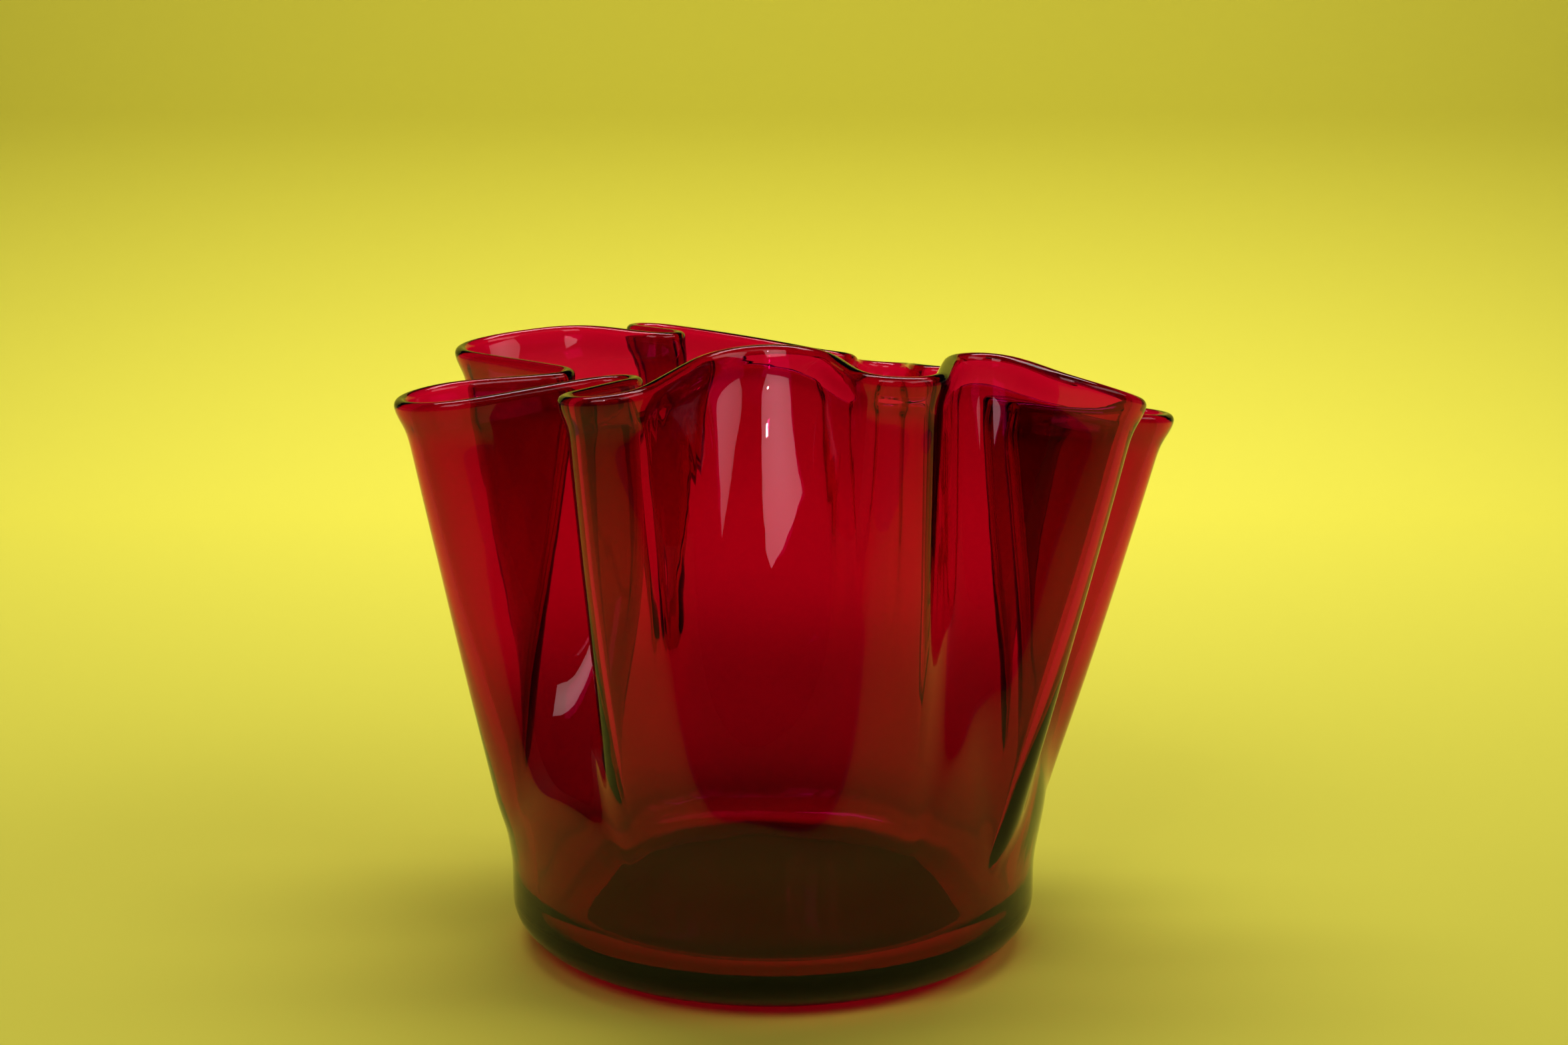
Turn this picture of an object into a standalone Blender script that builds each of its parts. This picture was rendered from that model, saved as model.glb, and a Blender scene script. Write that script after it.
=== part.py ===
# Hand-blown glass bowl with a ruffled rim, one piece of glass on a flat ground foot.
# The body is turned. Above it the wall is drawn out into nine folds that deepen up to the rim,
# which is fire-polished to a round bead. Metres, +Z up, origin at the middle of the foot.

import math

import bmesh
import bpy
import numpy as np

# Foot and body
foot_radius = 0.069
heel_height = 0.0165
body_radius = 0.0925
floor_thickness = 0.007
inner_floor_radius = 0.058
inner_heel_height = 0.024

# Wall
body_wall = 0.0055
fold_wall = 0.0036
bead_thickness = 0.0048
bead_reach = 0.007
thinning_height = 0.060

# Folds
shoulder_radius = 0.0965
shoulder_start_height = 0.026
shoulder_end_height = 0.058
fold_start_height = 0.042
fold_start_softness = 0.05
fold_swell = 0.2
lip_flare = 0.0017
lip_flare_reach = 0.006
bend_easing = 0.0032
height_easing = 0.009

# Bends of the rim's centre line, counter-clockwise seen from above. The glass runs round the outside
# of a crest's circle and round the inside of a valley's: side, x, y, radius, height of the rim, and
# the bearing on the body, in degrees, that the bend rises from.
crest = 1
valley = -1
rim_bends = (
    (crest, 0.1215, 0.0100, 0.0165, 0.1840, 3.0),
    (valley, 0.0840, 0.0310, 0.0080, 0.1885, 21.0),
    (crest, 0.0970, 0.0610, 0.0135, 0.1880, 37.0),
    (valley, 0.0640, 0.0790, 0.0105, 0.1950, 54.0),
    (crest, 0.0415, 0.0930, 0.0110, 0.1920, 67.0),
    (valley, 0.0200, 0.0860, 0.0100, 0.1995, 79.0),
    (crest, -0.0480, 0.1140, 0.0085, 0.2065, 108.0),
    (valley, -0.0440, 0.0850, 0.0085, 0.2060, 121.0),
    (crest, -0.0800, 0.0690, 0.0235, 0.2080, 140.0),
    (crest, -0.0925, 0.0650, 0.0240, 0.2030, 152.0),
    (valley, -0.0790, 0.0085, 0.0085, 0.1995, 175.0),
    (crest, -0.1020, -0.0180, 0.0210, 0.1960, 190.0),
    (crest, -0.1030, -0.0205, 0.0215, 0.1930, 199.0),
    (valley, -0.0570, -0.0520, 0.0095, 0.2030, 226.0),
    (crest, -0.0505, -0.0790, 0.0135, 0.2015, 247.0),
    (valley, -0.0030, -0.0680, 0.0240, 0.2135, 271.0),
    (crest, 0.0390, -0.0730, 0.0140, 0.2070, 294.0),
    (valley, 0.0700, -0.0470, 0.0125, 0.2100, 310.0),
    (crest, 0.1000, -0.0415, 0.0135, 0.2045, 319.0),
    (crest, 0.1060, -0.0400, 0.0140, 0.1945, 324.0),
    (valley, 0.0880, -0.0140, 0.0070, 0.1915, 341.0),
)

# Fineness of the mesh
columns = 120
wall_rings = 17
heel_rings = 4
lip_rings = 5
curve_samples = 1200
bend_crowding = 0.018
crowding_spread = 6.0
ring_crowding = 1.35

# Glass
glass_colour = (0.42, 0.004, 0.012, 1.0)
glass_roughness = 0.02
glass_ior = 1.51


def clear_scene():
    for thing in list(bpy.data.objects):
        bpy.data.objects.remove(thing, do_unlink=True)


def belt_round_bends():
    # Arcs on the circles, joined by the straight lines that touch both
    count = len(rim_bends)
    centres = np.array([(x, y) for _, x, y, _, _, _ in rim_bends])
    turns = np.array([side * radius for side, _, _, radius, _, _ in rim_bends])
    headings = []
    for i in range(count):
        step = centres[(i + 1) % count] - centres[i]
        lean = math.asin((turns[(i + 1) % count] - turns[i]) / np.linalg.norm(step))
        headings.append(math.atan2(step[1], step[0]) - lean)
    outline = []
    middles = []
    per_arc = curve_samples // count
    for i in range(count):
        arriving = headings[i - 1]
        turn = (headings[i] - arriving) % math.tau
        if turns[i] < 0.0:
            turn -= math.tau
        middles.append(len(outline) + per_arc // 2)
        for heading in np.linspace(arriving, arriving + turn, per_arc):
            normal = np.array((-math.sin(heading), math.cos(heading)))
            outline.append(centres[i] - turns[i] * normal)
    return np.array(outline), middles


def eased(values, spread):
    # Periodic Gaussian average, spread in samples
    reach = np.arange(len(values))
    reach = np.minimum(reach, len(values) - reach)
    weights = np.exp(-0.5 * (reach / spread) ** 2)
    weights /= weights.sum()
    spectrum = np.fft.fft(weights)
    return np.real(np.fft.ifft(np.fft.fft(values) * spectrum))


def lengths_along(points):
    closed = np.vstack([points, points[:1]])
    return np.concatenate([[0.0], np.cumsum(np.linalg.norm(np.diff(closed, axis=0), axis=1))])


def resampled(points, stations, wanted):
    closed = np.vstack([points, points[:1]])
    return np.column_stack([np.interp(wanted, stations, closed[:, k]) for k in range(points.shape[1])])


def flowing(wanted, places, values, around):
    # Periodic smooth curve through the values, sloping at each as its neighbours do
    slopes = np.roll(values, -1) - np.roll(values, 1)
    slopes /= (np.roll(places, -1) - np.roll(places, 1)) % around
    lengths = (np.roll(places, -1) - places) % around
    found = np.searchsorted(places, wanted, side="right") - 1
    share = ((wanted - places[found]) % around) / lengths[found]
    after = (found + 1) % len(places)
    cubic = share * share * (3.0 - 2.0 * share)
    rise = share * (1.0 - share) ** 2 * lengths[found] * slopes[found]
    fall = share ** 2 * (1.0 - share) * lengths[found] * slopes[after]
    return values[found] + cubic * (values[after] - values[found]) + rise - fall


def rim_curve():
    # Top of the rim as evenly spaced points, the bends eased into the lines between them, and the
    # bearing on the body that each point rises from
    outline, middles = belt_round_bends()
    stations = lengths_along(outline)
    around = stations[-1]
    even = np.linspace(0.0, around, curve_samples, endpoint=False)
    plan = resampled(outline, stations, even)
    places = stations[middles]
    heights = np.array([bend[4] for bend in rim_bends])
    bearings = np.radians([bend[5] for bend in rim_bends])
    spacing = around / curve_samples
    x = eased(plan[:, 0], bend_easing / spacing)
    y = eased(plan[:, 1], bend_easing / spacing)
    z = eased(flowing(even, places, heights, around), height_easing / spacing)
    steady = math.tau * places / around
    drift = eased(flowing(even, places, bearings - steady, around), height_easing / spacing)
    return np.column_stack([x, y, z]), math.tau * even / around + drift


def rim_columns():
    # Columns of the mesh, crowded in the tight bends
    rim, bearing = rim_curve()
    stations = lengths_along(rim[:, :2])
    ahead = np.roll(rim[:, :2], -1, axis=0) - rim[:, :2]
    heading = np.unwrap(np.arctan2(ahead[:, 1], ahead[:, 0]))
    turn = np.abs(np.diff(np.append(heading, heading[0] + math.tau)))
    weight = np.diff(stations) + bend_crowding * eased(turn, crowding_spread)
    crowded = np.concatenate([[0.0], np.cumsum(weight)])
    wanted = np.interp(np.arange(columns) * crowded[-1] / columns, crowded, stations)
    points = resampled(rim, stations, wanted)
    return points, np.interp(wanted, stations, np.append(bearing, bearing[0] + math.tau))


def smooth_step(share):
    share = np.clip(share, 0.0, 1.0)
    return share * share * (3.0 - 2.0 * share)


def wall_thickness(height, depth_below_rim):
    # Thick above the foot, thin in the folds, swelling into the bead at the rim
    thinned = smooth_step((height - inner_heel_height) / thinning_height)
    plain = body_wall + (fold_wall - body_wall) * thinned
    swell = np.exp(-(depth_below_rim / bead_reach) ** 2)
    return plain + (bead_thickness - fold_wall) * swell


def fold_depth(climb):
    # Share of the rim's shape reached at a share of the climb: a soft start, then nearly straight
    soft = np.sqrt(climb ** 2 + fold_start_softness ** 2) - fold_start_softness
    straight = soft / (math.sqrt(1.0 + fold_start_softness ** 2) - fold_start_softness)
    return straight + fold_swell * straight * (1.0 - straight) ** 2


def wall_grid():
    # Middle surface of the wall, ring by ring, and its thickness
    rim, foot = rim_columns()
    rim_top = rim[:, 2] - bead_thickness / 2.0
    side = np.roll(rim, -1, axis=0) - np.roll(rim, 1, axis=0)
    outward = np.column_stack([side[:, 1], -side[:, 0]])
    outward /= np.linalg.norm(outward, axis=1)[:, None]
    drawn = rim[:, :2] - lip_flare * outward
    direction = np.column_stack([np.cos(foot), np.sin(foot)])

    rings = []
    thicknesses = []
    for i in range(wall_rings + 1):
        up = 1.0 - (1.0 - i / wall_rings) ** ring_crowding
        height = inner_heel_height + up * (rim_top - inner_heel_height)
        below = rim_top - height
        thickness = wall_thickness(height, below)
        climb = np.clip((height - fold_start_height) / (rim_top - fold_start_height), 0.0, 1.0)
        depth = fold_depth(climb)[:, None]
        shoulder_climb = (height - shoulder_start_height) / (shoulder_end_height - shoulder_start_height)
        radius = body_radius + (shoulder_radius - body_radius) * smooth_step(shoulder_climb)
        body = direction * (radius - thickness / 2.0)[:, None]
        flare = lip_flare * np.exp(-(below / lip_flare_reach) ** 2)
        plan = body + depth * (drawn - body) + flare[:, None] * outward
        rings.append(np.column_stack([plan, height]))
        thicknesses.append(thickness)
    return np.array(rings), np.array(thicknesses), direction


def wall_normals(middle):
    around = np.roll(middle, -1, axis=1) - np.roll(middle, 1, axis=1)
    upward = np.gradient(middle, axis=0)
    normals = np.cross(around, upward)
    normals /= np.linalg.norm(normals, axis=2)[:, :, None]
    upward /= np.linalg.norm(upward, axis=2)[:, :, None]
    normals[0, :, 2] = 0.0
    return normals, upward


def heel(direction, flat_radius, side_radius, flat_height, height):
    # Rings of a quarter ellipse from a flat floor up to a wall
    rings = []
    for i in range(heel_rings):
        angle = 0.5 * math.pi * i / heel_rings
        radius = flat_radius + (side_radius - flat_radius) * math.sin(angle)
        level = flat_height + (height - flat_height) * (1.0 - math.cos(angle))
        rings.append(np.column_stack([direction * radius, np.full(columns, level)]))
    return rings


def bowl_rings():
    # Every ring from the edge of the underside, up the outside, over the bead and down the inside
    middle, thickness, direction = wall_grid()
    normals, upward = wall_normals(middle)
    half = 0.5 * thickness[:, :, None]
    outer = middle + half * normals
    inner = middle - half * normals
    rings = heel(direction, foot_radius, body_radius, 0.0, heel_height)
    rings.append(np.column_stack([direction * body_radius, np.full(columns, heel_height)]))
    rings.extend(outer)
    for i in range(1, lip_rings):
        angle = math.pi * i / lip_rings
        rings.append(middle[-1] + half[-1] * (math.cos(angle) * normals[-1] + math.sin(angle) * upward[-1]))
    rings.extend(inner[::-1])
    inside = heel(direction, inner_floor_radius, body_radius - body_wall, floor_thickness, inner_heel_height)
    rings.extend(inside[::-1])
    return rings


def glass_material():
    material = bpy.data.materials.new("ruby_glass")
    material.use_nodes = True
    surface = material.node_tree.nodes["Principled BSDF"]
    surface.inputs["Base Color"].default_value = glass_colour
    surface.inputs["Roughness"].default_value = glass_roughness
    surface.inputs["Metallic"].default_value = 0.0
    surface.inputs["IOR"].default_value = glass_ior
    surface.inputs["Transmission Weight"].default_value = 1.0
    material.diffuse_color = glass_colour
    return material


def glass_bowl():
    shell = bmesh.new()
    rows = [[shell.verts.new(point) for point in ring] for ring in bowl_rings()]
    for lower, upper in zip(rows, rows[1:]):
        for i in range(columns):
            j = (i + 1) % columns
            shell.faces.new((lower[i], lower[j], upper[j], upper[i]))
    shell.faces.new(rows[0][::-1])
    shell.faces.new(rows[-1])
    mesh = bpy.data.meshes.new("glass_bowl")
    shell.to_mesh(mesh)
    shell.free()
    mesh.shade_smooth()
    mesh.materials.append(glass_material())
    bowl = bpy.data.objects.new("glass_bowl", mesh)
    bpy.context.scene.collection.objects.link(bowl)
    return bowl


clear_scene()
glass_bowl()
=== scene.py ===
import math

import bmesh
import bpy
import numpy as np
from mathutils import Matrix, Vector


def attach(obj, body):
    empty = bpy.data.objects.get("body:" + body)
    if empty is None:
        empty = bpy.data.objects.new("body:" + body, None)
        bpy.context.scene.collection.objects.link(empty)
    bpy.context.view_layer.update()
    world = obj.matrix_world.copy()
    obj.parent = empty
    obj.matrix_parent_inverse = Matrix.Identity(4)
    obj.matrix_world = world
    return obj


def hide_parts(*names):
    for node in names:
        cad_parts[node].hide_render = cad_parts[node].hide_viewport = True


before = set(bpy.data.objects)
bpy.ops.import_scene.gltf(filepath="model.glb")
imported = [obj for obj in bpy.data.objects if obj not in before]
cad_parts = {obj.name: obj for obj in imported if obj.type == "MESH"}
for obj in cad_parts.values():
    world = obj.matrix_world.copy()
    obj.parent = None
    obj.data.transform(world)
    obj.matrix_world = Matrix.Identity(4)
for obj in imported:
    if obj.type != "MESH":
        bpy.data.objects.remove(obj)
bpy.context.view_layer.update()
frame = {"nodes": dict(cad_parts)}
print("frame loaded:", ", ".join(frame["nodes"]))


def linearColour(hexText, alpha=1.0):
    # sRGB hex to the linear values that Blender's sockets take
    parts = [int(hexText[i:i + 2], 16) / 255.0 for i in (1, 3, 5)]
    linear = [p / 12.92 if p <= 0.04045 else ((p + 0.055) / 1.055) ** 2.4 for p in parts]
    return (*linear, alpha)


def addNode(tree, kind, place, settings=None, links=None):
    # settings: socket name or property -> value; links: input name -> (node, output name)
    node = tree.nodes.new(kind)
    node.location = place
    for name, value in (settings or {}).items():
        if name in node.inputs:
            node.inputs[name].default_value = value
        else:
            setattr(node, name, value)
    for name, (source, output) in (links or {}).items():
        tree.links.new(source.outputs[output], node.inputs[name])
    return node


def startMaterial(name):
    material = bpy.data.materials.new(name)
    material.use_nodes = True
    material.node_tree.nodes.clear()
    return material, material.node_tree


camera = {
    "place": (0.0039, -0.7465, 0.2791),
    "tiltDown": 10.04,  # degrees below level
    "lens": 50.0,
    "sensorWidth": 36.0,
    "nearest": 0.01,
}


def placeCamera():
    data = bpy.data.cameras.new("camera")
    data.lens = camera["lens"]
    data.sensor_width = camera["sensorWidth"]
    data.clip_start = camera["nearest"]
    eye = bpy.data.objects.new("camera", data)
    eye.location = camera["place"]
    eye.rotation_euler = (math.radians(90.0 - camera["tiltDown"]), 0.0, 0.0)
    bpy.context.scene.collection.objects.link(eye)
    bpy.context.scene.camera = eye
    print("camera placed")


stage = {
    "paperColour": "#E0D95E",  # pale yellow studio paper
    "paperWidth": 2.5,
    "paperFront": -1.25,
    "paperBack": 1.15,
    "paperHeight": 0.75,
    "paperBend": 0.30,
    "paperBendSteps": 24,
    "floorColour": "#9C968C",  # the studio's own floor, beyond the paper
    "floorRadius": 1.9,
    "floorDrop": 0.003,  # it lies this far under the paper
    "floorWall": 0.45,
    "fibreScale": 260.0,  # fibres and grains about 4 mm wide
    "fibreDepth": 0.0002,
    "roomColour": "#8A8496",
    "roomStrength": 0.06,
    "gamma": 0.80,
    "bounces": 24,  # enough for light to pass both walls of the bowl and come back
    # name, place, aimed at, width, height, beam in degrees, watts
    "lights": (
        ("windowLeft", (-0.655, -1.35, 1.41), (0.0, 0.0, 0.10), 1.00, 0.74, 100.0, 2.1),
        ("windowRight", (1.30, -0.75, 1.41), (0.0, 0.0, 0.10), 1.90, 0.74, 100.0, 3.2),
        ("topPanel", (0.0, 0.60, 1.95), (0.0, 1.00, 0.10), 2.20, 0.80, 110.0, 19.5),
        ("frontPanel", (0.0, -1.05, 1.50), (0.0, -1.00, 0.0), 1.60, 0.50, 90.0, 1.5),
        ("spark", (-0.36, -1.54, 1.63), (0.0, 0.0, 0.15), 0.05, 0.05, 160.0, 0.4),
    ),
}


def mattMaterial(name, colour):
    # Seamless paper and painted floor: matt and even, with a faint fibre
    material, tree = startMaterial(name)
    place = addNode(tree, "ShaderNodeTexCoord", (-900, 0))
    fibre = addNode(tree, "ShaderNodeTexNoise", (-700, 0), {"Scale": stage["fibreScale"], "Detail": 3.0},
                    {"Vector": (place, "Object")})
    bump = addNode(tree, "ShaderNodeBump", (-300, -200), {"Strength": 0.15, "Distance": stage["fibreDepth"]},
                   {"Height": (fibre, "Fac")})
    skin = addNode(tree, "ShaderNodeBsdfPrincipled", (0, 0),
                   {"Base Color": linearColour(colour), "Roughness": 0.85, "Specular IOR Level": 0.2},
                   {"Normal": (bump, "Normal")})
    addNode(tree, "ShaderNodeOutputMaterial", (300, 0), links={"Surface": (skin, "BSDF")})
    return material


def selectEdges(piece, wanted):
    mesh = bmesh.from_edit_mesh(piece.data)
    for edge in mesh.edges:
        edge.select_set(wanted(*(vertex.co for vertex in edge.verts)))
    bmesh.update_edit_mesh(piece.data)


def layPaper():
    # A plane, its far edge pulled up into a wall and the corner between them rounded
    bpy.ops.object.select_all(action="DESELECT")
    bpy.ops.mesh.primitive_plane_add(size=1.0)
    paper = bpy.context.object
    paper.name = "seamlessPaper"
    depth = stage["paperBack"] - stage["paperFront"]
    slack = 0.01
    nearBack = stage["paperBack"] - slack
    bpy.ops.object.mode_set(mode="EDIT")
    bpy.ops.transform.resize(value=(stage["paperWidth"], depth, 1.0))
    bpy.ops.transform.translate(value=(0.0, stage["paperFront"] + depth / 2.0, 0.0))
    bpy.ops.mesh.select_mode(type="EDGE")
    bpy.ops.mesh.select_all(action="DESELECT")
    selectEdges(paper, lambda a, b: min(a.y, b.y) > nearBack)
    bpy.ops.mesh.extrude_edges_move(TRANSFORM_OT_translate={"value": (0.0, 0.0, stage["paperHeight"])})
    selectEdges(paper, lambda a, b: min(a.y, b.y) > nearBack and max(a.z, b.z) < slack)
    bpy.ops.mesh.bevel(offset=stage["paperBend"], segments=stage["paperBendSteps"], affect="EDGES")
    bpy.ops.object.mode_set(mode="OBJECT")
    bpy.ops.object.shade_smooth()
    paper.data.materials.append(mattMaterial("seamlessPaper", stage["paperColour"]))
    print("paper laid")


def layFloor():
    # The studio's floor, just under the paper, its edge drawn up into a low wall
    bpy.ops.object.select_all(action="DESELECT")
    bpy.ops.mesh.primitive_circle_add(vertices=96, radius=stage["floorRadius"], fill_type="NGON",
                                      location=(0.0, 0.0, -stage["floorDrop"]))
    floor = bpy.context.object
    floor.name = "studioFloor"
    bpy.ops.object.mode_set(mode="EDIT")
    bpy.ops.mesh.select_mode(type="EDGE")
    bpy.ops.mesh.select_all(action="SELECT")
    bpy.ops.mesh.extrude_edges_move(TRANSFORM_OT_translate={"value": (0.0, 0.0, stage["floorWall"])})
    bpy.ops.object.mode_set(mode="OBJECT")
    floor.data.materials.append(mattMaterial("studioFloor", stage["floorColour"]))
    print("floor laid")


def hangLights():
    for name, place, target, width, height, beam, watts in stage["lights"]:
        data = bpy.data.lights.new(name, "AREA")
        data.shape = "RECTANGLE"
        data.size = width
        data.size_y = height
        data.energy = watts
        data.spread = math.radians(beam)
        lamp = bpy.data.objects.new(name, data)
        lamp.location = place
        lamp.rotation_euler = (Vector(target) - Vector(place)).to_track_quat("-Z", "Y").to_euler()
        lamp.visible_camera = False
        bpy.context.scene.collection.objects.link(lamp)
    room = bpy.data.worlds.new("dimStudio")
    room.use_nodes = True
    surround = room.node_tree.nodes["Background"]
    surround.inputs["Color"].default_value = linearColour(stage["roomColour"])
    surround.inputs["Strength"].default_value = stage["roomStrength"]
    scene = bpy.context.scene
    scene.world = room
    scene.view_settings.view_transform = "Standard"
    scene.view_settings.gamma = stage["gamma"]
    scene.cycles.max_bounces = stage["bounces"]
    scene.cycles.transmission_bounces = stage["bounces"]
    print("lights hung")


crest, valley = 1.0, -1.0

# Metres, unless a note says otherwise
bowl = {
    "footRadius": 0.069,
    "heelHeight": 0.0165,
    "bodyRadius": 0.0925,
    "floorThickness": 0.008,
    "innerFloorRadius": 0.057,
    "innerHeelHeight": 0.026,
    "bodyWall": 0.0078,
    "foldWall": 0.0036,
    "beadThickness": 0.0048,
    "beadReach": 0.007,
    "thinningHeight": 0.120,  # the wall thins from the body's to the folds' over this height
    "shoulderRadius": 0.0965,
    "shoulderStart": 0.026,
    "shoulderEnd": 0.058,
    "foldSoftness": 0.05,  # share of the fold's height over which it begins
    "lipFlare": 0.0017,
    "lipFlareReach": 0.006,
    "bendEasing": 0.0032,
    "heightEasing": 0.009,
    "columns": 400,
    "wallRings": 72,
    "heelRings": 10,
    "lipRings": 8,
    "curveSamples": 2400,
    "bendCrowding": 0.018,  # columns stand closer together in the bends
    "crowdingSpread": 12.0,  # in samples of the curve
    "ringCrowding": 1.35,  # above 1, the rings lie closer together towards the rim
    # Bends of the rim, counter-clockwise from above: side, x, y, radius, height of the rim, bearing on the
    # body in degrees, swell half way up as a share of the fold's depth, and the height where it starts.
    # The glass runs round the outside of a crest's circle and round the inside of a valley's.
    "bends": (
        (crest, 0.1215, 0.0100, 0.0165, 0.1840, 3.0, 0.12, 0.042),
        (valley, 0.0840, 0.0310, 0.0080, 0.1885, 21.0, 0.12, 0.042),
        (crest, 0.0970, 0.0610, 0.0135, 0.1880, 37.0, 0.12, 0.042),
        (valley, 0.0640, 0.0790, 0.0105, 0.1950, 54.0, 0.12, 0.042),
        (crest, 0.0415, 0.0930, 0.0110, 0.1920, 67.0, 0.12, 0.042),
        (valley, 0.0200, 0.0860, 0.0100, 0.1995, 79.0, 0.12, 0.042),
        (crest, -0.0480, 0.1140, 0.0085, 0.2065, 108.0, 0.12, 0.042),
        (valley, -0.0440, 0.0850, 0.0085, 0.2060, 121.0, 0.12, 0.042),
        (crest, -0.0800, 0.0690, 0.0235, 0.2080, 140.0, 0.12, 0.042),
        (crest, -0.0925, 0.0650, 0.0240, 0.2030, 152.0, 0.12, 0.042),
        (valley, -0.0790, 0.0085, 0.0085, 0.1995, 175.0, 0.12, 0.042),
        (crest, -0.1020, -0.0180, 0.0210, 0.1960, 190.0, 0.12, 0.042),
        (crest, -0.1030, -0.0205, 0.0215, 0.1930, 199.0, 0.12, 0.042),
        (valley, -0.0550, -0.0370, 0.0110, 0.2020, 226.0, 1.9, 0.066),
        (crest, -0.0505, -0.0790, 0.0135, 0.2015, 247.0, 0.12, 0.042),
        (valley, -0.0030, -0.0680, 0.0240, 0.2135, 266.0, -0.5, 0.062),
        (crest, 0.0390, -0.0730, 0.0140, 0.2070, 294.0, 0.12, 0.042),
        (valley, 0.0700, -0.0470, 0.0125, 0.2100, 310.0, -0.3, 0.080),
        (crest, 0.1000, -0.0415, 0.0135, 0.2045, 319.0, 0.12, 0.042),
        (crest, 0.1060, -0.0400, 0.0140, 0.1945, 324.0, 0.12, 0.042),
        (valley, 0.0880, -0.0140, 0.0070, 0.1915, 341.0, 0.12, 0.060),
    ),
    # Height above the foot, and the tint that the glass there lets through: painted shade darkens the lower
    # wall and painted light brightens the floor
    "paintedLightTint": (
        (0.010, "#FFD4C0"),
        (0.016, "#B09484"),
        (0.040, "#C8A894"),
        (0.065, "#BE9E8A"),
        (0.115, "#E4C6AE"),
        (0.185, "#D8BA9E"),
    ),
    "paintedLightTintTop": 0.2,
    "absorption": (16.0, 980.0, 90.0),  # of red, green and blue light, per metre of glass
    "roughness": 0.008,
    "refraction": 1.51,
    "cordScale": 70.0,  # slow streaks of slightly different glass, about 14 mm apart
    "cordStretch": 0.35,  # below 1, they are drawn upwards
    "cordDepth": 0.00012,
}


def smoothStep(share):
    share = np.clip(share, 0.0, 1.0)
    return share * share * (3.0 - 2.0 * share)


def eased(values, spread):
    # Running average round the closed rim, spread in samples
    reach = np.arange(len(values))
    reach = np.minimum(reach, len(values) - reach)
    weights = np.exp(-0.5 * (reach / spread) ** 2)
    weights /= weights.sum()
    return np.real(np.fft.ifft(np.fft.fft(values) * np.fft.fft(weights)))


def lengthsAlong(points):
    closed = np.vstack([points, points[:1]])
    return np.concatenate([[0.0], np.cumsum(np.linalg.norm(np.diff(closed, axis=0), axis=1))])


def resampled(points, stations, wanted):
    closed = np.vstack([points, points[:1]])
    return np.column_stack([np.interp(wanted, stations, closed[:, k]) for k in range(points.shape[1])])


def flowing(wanted, places, values, around):
    # Smooth curve through the values at the bends, round the closed rim
    apart = (np.roll(places, -1) - np.roll(places, 1)) % around
    slopes = (np.roll(values, -1) - np.roll(values, 1)) / apart
    lengths = (np.roll(places, -1) - places) % around
    found = np.searchsorted(places, wanted, side="right") - 1
    share = ((wanted - places[found]) % around) / lengths[found]
    after = (found + 1) % len(places)
    cubic = share * share * (3.0 - 2.0 * share)
    rise = share * (1.0 - share) ** 2 * lengths[found] * slopes[found]
    fall = share ** 2 * (1.0 - share) * lengths[found] * slopes[after]
    return values[found] + cubic * (values[after] - values[found]) + rise - fall


def rimOutline():
    # The rim seen from above: arcs on the bends' circles, joined by the straight lines that touch both
    bends = bowl["bends"]
    centres = np.array([bend[1:3] for bend in bends])
    turns = np.array([bend[0] * bend[3] for bend in bends])
    steps = np.roll(centres, -1, axis=0) - centres
    leans = np.arcsin((np.roll(turns, -1) - turns) / np.linalg.norm(steps, axis=1))
    headings = np.arctan2(steps[:, 1], steps[:, 0]) - leans
    outline, middles = [], []
    perArc = bowl["curveSamples"] // len(bends)
    for i in range(len(bends)):
        turn = (headings[i] - headings[i - 1]) % math.tau
        if turns[i] < 0.0:
            turn -= math.tau
        middles.append(len(outline) + perArc // 2)
        for heading in np.linspace(headings[i - 1], headings[i - 1] + turn, perArc):
            outline.append(centres[i] - turns[i] * np.array((-math.sin(heading), math.cos(heading))))
    return np.array(outline), middles


def rimColumns():
    # For every column of the mesh: x, y and height of the rim, swell and start of the fold, and the bearing
    # on the round body that it rises from
    outline, middles = rimOutline()
    stations = lengthsAlong(outline)
    around = stations[-1]
    even = np.linspace(0.0, around, bowl["curveSamples"], endpoint=False)
    spacing = around / bowl["curveSamples"]
    bendSpread, heightSpread = bowl["bendEasing"] / spacing, bowl["heightEasing"] / spacing
    plan = resampled(outline, stations, even)
    places = stations[middles]
    heights, bearings, swells, starts = (np.array([bend[k] for bend in bowl["bends"]]) for k in (4, 5, 6, 7))
    rim = np.column_stack(
        [eased(plan[:, k], bendSpread) for k in (0, 1)]
        + [eased(flowing(even, places, row, around), heightSpread) for row in (heights, swells, starts)])
    drift = flowing(even, places, np.radians(bearings) - math.tau * places / around, around)
    bearing = math.tau * even / around + eased(drift, heightSpread)
    stations = lengthsAlong(rim[:, :2])
    ahead = np.roll(rim[:, :2], -1, axis=0) - rim[:, :2]
    heading = np.unwrap(np.arctan2(ahead[:, 1], ahead[:, 0]))
    turn = np.abs(np.diff(np.append(heading, heading[0] + math.tau)))
    weight = np.diff(stations) + bowl["bendCrowding"] * eased(turn, bowl["crowdingSpread"])
    crowded = np.concatenate([[0.0], np.cumsum(weight)])
    wanted = np.interp(np.arange(bowl["columns"]) * crowded[-1] / bowl["columns"], crowded, stations)
    closed = np.append(bearing, bearing[0] + math.tau)
    return resampled(rim, stations, wanted), np.interp(wanted, stations, closed)


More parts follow.
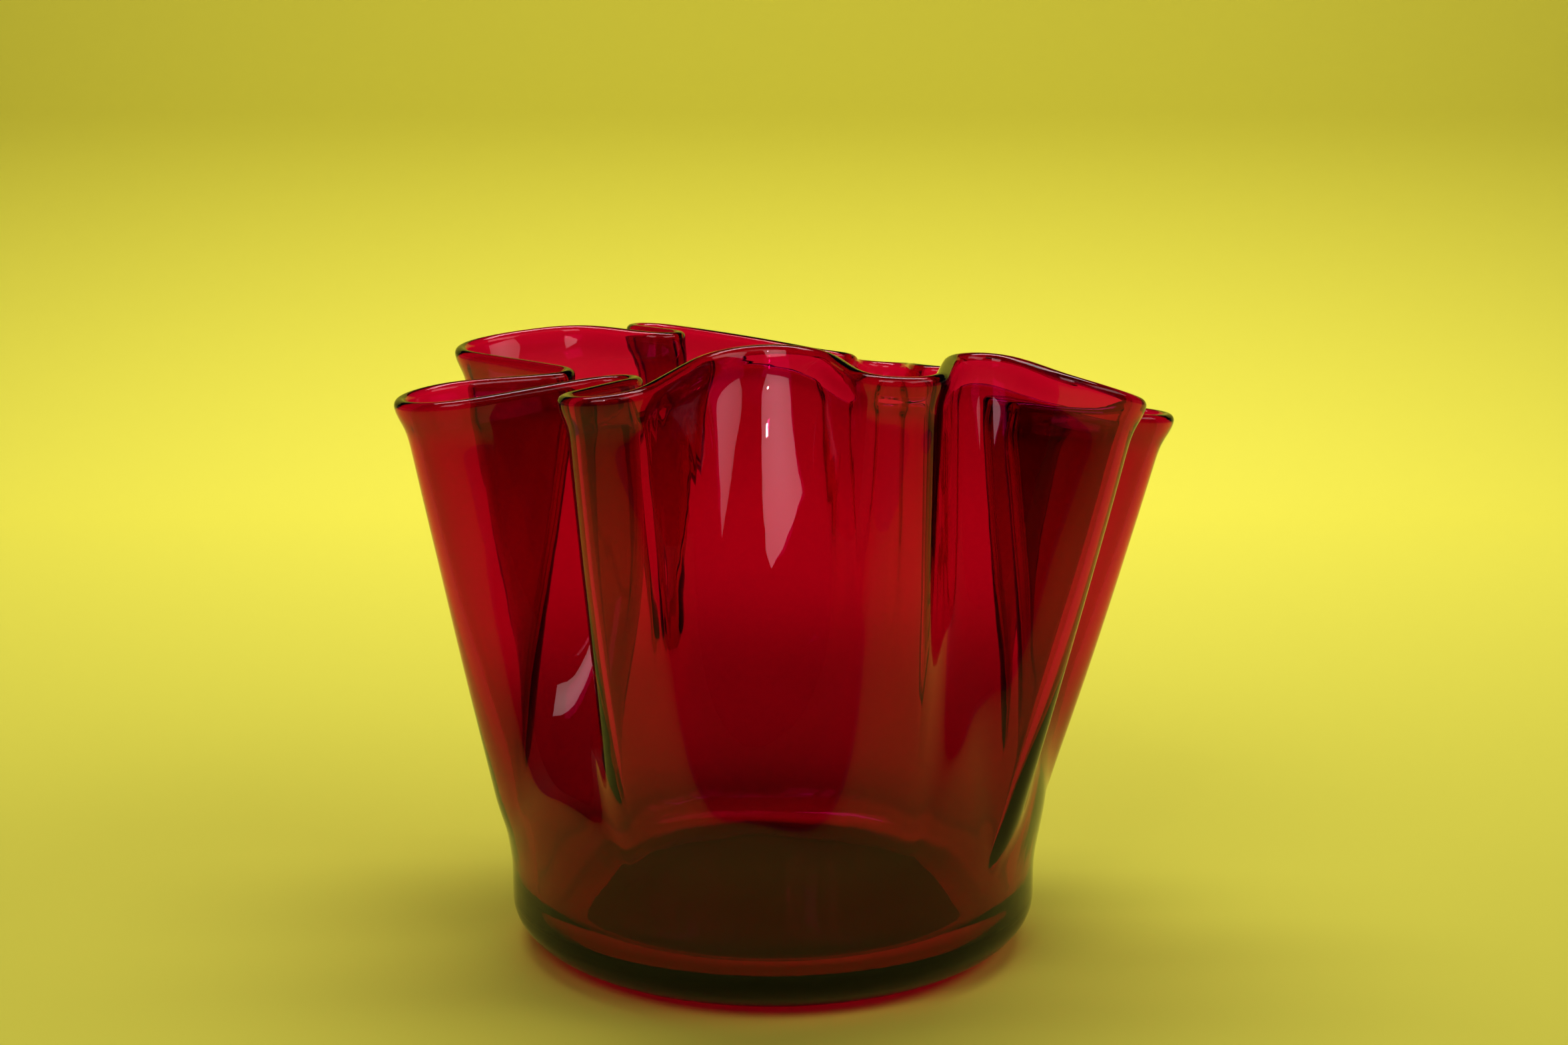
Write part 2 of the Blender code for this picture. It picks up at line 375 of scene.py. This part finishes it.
def foldedWall():
    # Middle of the wall ring by ring, drawn out from the round body to the rim, with its thickness
    rim, foot = rimColumns()
    swell, start = rim[:, 3], rim[:, 4]
    rimTop = rim[:, 2] - bowl["beadThickness"] / 2.0
    side = np.roll(rim, -1, axis=0) - np.roll(rim, 1, axis=0)
    outward = np.column_stack([side[:, 1], -side[:, 0]])
    outward /= np.linalg.norm(outward, axis=1)[:, None]
    drawn = rim[:, :2] - bowl["lipFlare"] * outward
    direction = np.column_stack([np.cos(foot), np.sin(foot)])
    softness = bowl["foldSoftness"]
    fullClimb = math.sqrt(1.0 + softness ** 2) - softness
    shoulderHeight = bowl["shoulderEnd"] - bowl["shoulderStart"]
    rings, thicknesses = [], []
    for i in range(bowl["wallRings"] + 1):
        up = 1.0 - (1.0 - i / bowl["wallRings"]) ** bowl["ringCrowding"]
        height = bowl["innerHeelHeight"] + up * (rimTop - bowl["innerHeelHeight"])
        below = rimTop - height
        thinned = smoothStep((height - bowl["innerHeelHeight"]) / bowl["thinningHeight"])
        bead = np.exp(-(below / bowl["beadReach"]) ** 2)
        thickness = bowl["bodyWall"] + (bowl["foldWall"] - bowl["bodyWall"]) * thinned
        thickness = thickness + (bowl["beadThickness"] - bowl["foldWall"]) * bead
        climb = np.clip((height - start) / (rimTop - start), 0.0, 1.0)
        straight = (np.sqrt(climb ** 2 + softness ** 2) - softness) / fullClimb
        depth = (straight + swell * straight * (1.0 - straight))[:, None]
        shoulder = smoothStep((height - bowl["shoulderStart"]) / shoulderHeight)
        radius = bowl["bodyRadius"] + (bowl["shoulderRadius"] - bowl["bodyRadius"]) * shoulder
        body = direction * (radius - thickness / 2.0)[:, None]
        flare = bowl["lipFlare"] * np.exp(-(below / bowl["lipFlareReach"]) ** 2)
        rings.append(np.column_stack([body + depth * (drawn - body) + flare[:, None] * outward, height]))
        thicknesses.append(thickness)
    return np.array(rings), np.array(thicknesses), direction


def heelRings(direction, flatRadius, sideRadius, flatHeight, height):
    # Quarter ellipse from a flat floor up to the wall
    rings = []
    for i in range(bowl["heelRings"]):
        angle = 0.5 * math.pi * i / bowl["heelRings"]
        radius = flatRadius + (sideRadius - flatRadius) * math.sin(angle)
        level = flatHeight + (height - flatHeight) * (1.0 - math.cos(angle))
        rings.append(np.column_stack([direction * radius, np.full(len(direction), level)]))
    return rings


def bowlRings():
    # From the edge of the underside up the outside, over the bead and down the inside to the floor
    middle, thickness, direction = foldedWall()
    upward = np.gradient(middle, axis=0)
    normals = np.cross(np.roll(middle, -1, axis=1) - np.roll(middle, 1, axis=1), upward)
    normals /= np.linalg.norm(normals, axis=2)[:, :, None]
    normals[0, :, 2] = 0.0
    upward /= np.linalg.norm(upward, axis=2)[:, :, None]
    half = 0.5 * thickness[:, :, None]
    rings = heelRings(direction, bowl["footRadius"], bowl["bodyRadius"], 0.0, bowl["heelHeight"])
    heelTop = np.full(len(direction), bowl["heelHeight"])
    rings.append(np.column_stack([direction * bowl["bodyRadius"], heelTop]))
    rings.extend(middle + half * normals)
    for i in range(1, bowl["lipRings"]):
        angle = math.pi * i / bowl["lipRings"]
        rings.append(middle[-1] + half[-1] * (math.cos(angle) * normals[-1] + math.sin(angle) * upward[-1]))
    rings.extend((middle - half * normals)[::-1])
    rings.extend(heelRings(direction, bowl["innerFloorRadius"], bowl["bodyRadius"] - bowl["bodyWall"],
                           bowl["floorThickness"], bowl["innerHeelHeight"])[::-1])
    return rings


# Painted light and shade: the tint ramp darkens the lower wall and brightens the inside floor
def layPaintedLightTint(ramp):
    ramp.interpolation = "EASE"
    while len(ramp.elements) < len(bowl["paintedLightTint"]):
        ramp.elements.new(0.5)
    for element, (height, colour) in zip(ramp.elements, bowl["paintedLightTint"]):
        element.position = height / bowl["paintedLightTintTop"]
        element.color = linearColour(colour)


def glassMaterial():
    # Clear soda-lime glass under a ruby layer, blown and fire-polished: very smooth, so it mirrors the room
    # sharply, and darker where the light passes more of it. Its tint changes with height: painted shade round
    # the lower wall, painted light on the floor.
    material, tree = startMaterial("rubyBlownGlass")
    place = addNode(tree, "ShaderNodeTexCoord", (-1100, 0))
    stretch = addNode(tree, "ShaderNodeMapping", (-900, 0), {"Scale": (1.0, 1.0, bowl["cordStretch"])},
                      {"Vector": (place, "Object")})
    cords = addNode(tree, "ShaderNodeTexNoise", (-700, 0),
                    {"Scale": bowl["cordScale"], "Detail": 2.0, "Roughness": 0.45},
                    {"Vector": (stretch, "Vector")})
    bump = addNode(tree, "ShaderNodeBump", (-400, -200), {"Strength": 1.0, "Distance": bowl["cordDepth"]},
                   {"Height": (cords, "Fac")})
    split = addNode(tree, "ShaderNodeSeparateXYZ", (-900, 320), links={"Vector": (place, "Object")})
    share = addNode(tree, "ShaderNodeMapRange", (-700, 320),
                    {"From Min": 0.0, "From Max": bowl["paintedLightTintTop"]}, {"Value": (split, "Z")})
    # Painted shade on the lower wall and painted light on the floor, set by height
    paintedLightTint = addNode(tree, "ShaderNodeValToRGB", (-480, 320), links={"Fac": (share, "Result")})
    layPaintedLightTint(paintedLightTint.color_ramp)
    surface = addNode(tree, "ShaderNodeBsdfPrincipled", (0, 0),
                      {"Roughness": bowl["roughness"], "IOR": bowl["refraction"], "Transmission Weight": 1.0},
                      {"Base Color": (paintedLightTint, "Color"), "Normal": (bump, "Normal")})
    # The node absorbs its density times what its colour lacks of 1
    density = 1000.0
    left = [1.0 - part / density for part in bowl["absorption"]]
    depth = addNode(tree, "ShaderNodeVolumeAbsorption", (0, -420),
                    {"Color": (*left, 1.0), "Density": density})
    addNode(tree, "ShaderNodeOutputMaterial", (300, 0),
            links={"Surface": (surface, "BSDF"), "Volume": (depth, "Volume")})
    return material


def blowBowl():
    # The blank is a straight tube, cut across into one band for each ring of the bowl and closed at both
    # ends. Its top end becomes the inside floor. Then every ring is drawn to its place.
    rings = np.array(bowlRings())
    columns, step = bowl["columns"], 0.001
    height = step * (len(rings) - 1)
    bpy.ops.object.select_all(action="DESELECT")
    bpy.ops.mesh.primitive_cylinder_add(vertices=columns, radius=bowl["footRadius"], depth=height,
                                        end_fill_type="NGON", location=(0.0, 0.0, height / 2.0))
    piece = bpy.context.object
    piece.name = "blownGlassBowl"
    bpy.ops.object.transform_apply(location=True)
    bpy.ops.object.mode_set(mode="EDIT")
    bpy.ops.mesh.select_mode(type="EDGE")
    bpy.ops.mesh.select_all(action="DESELECT")
    selectEdges(piece, lambda a, b: abs(a.z - b.z) > step)
    bpy.ops.mesh.subdivide_edgering(number_cuts=len(rings) - 2, interpolation="LINEAR")
    bpy.ops.object.mode_set(mode="OBJECT")
    spots = np.array([vertex.co for vertex in piece.data.vertices])
    ring = np.rint(spots[:, 2] / step).astype(int)
    column = np.rint(np.arctan2(spots[:, 1], spots[:, 0]) / math.tau * columns).astype(int) % columns
    piece.data.vertices.foreach_set("co", rings[ring, column].ravel())
    piece.data.update()
    bpy.ops.object.shade_smooth()
    piece.data.materials.clear()
    piece.data.materials.append(glassMaterial())
    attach(piece, "root")
    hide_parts("glass_bowl")
    print("bowl blown:", len(piece.data.loop_triangles), "triangles")


placeCamera()
layFloor()
layPaper()
hangLights()
blowBowl()
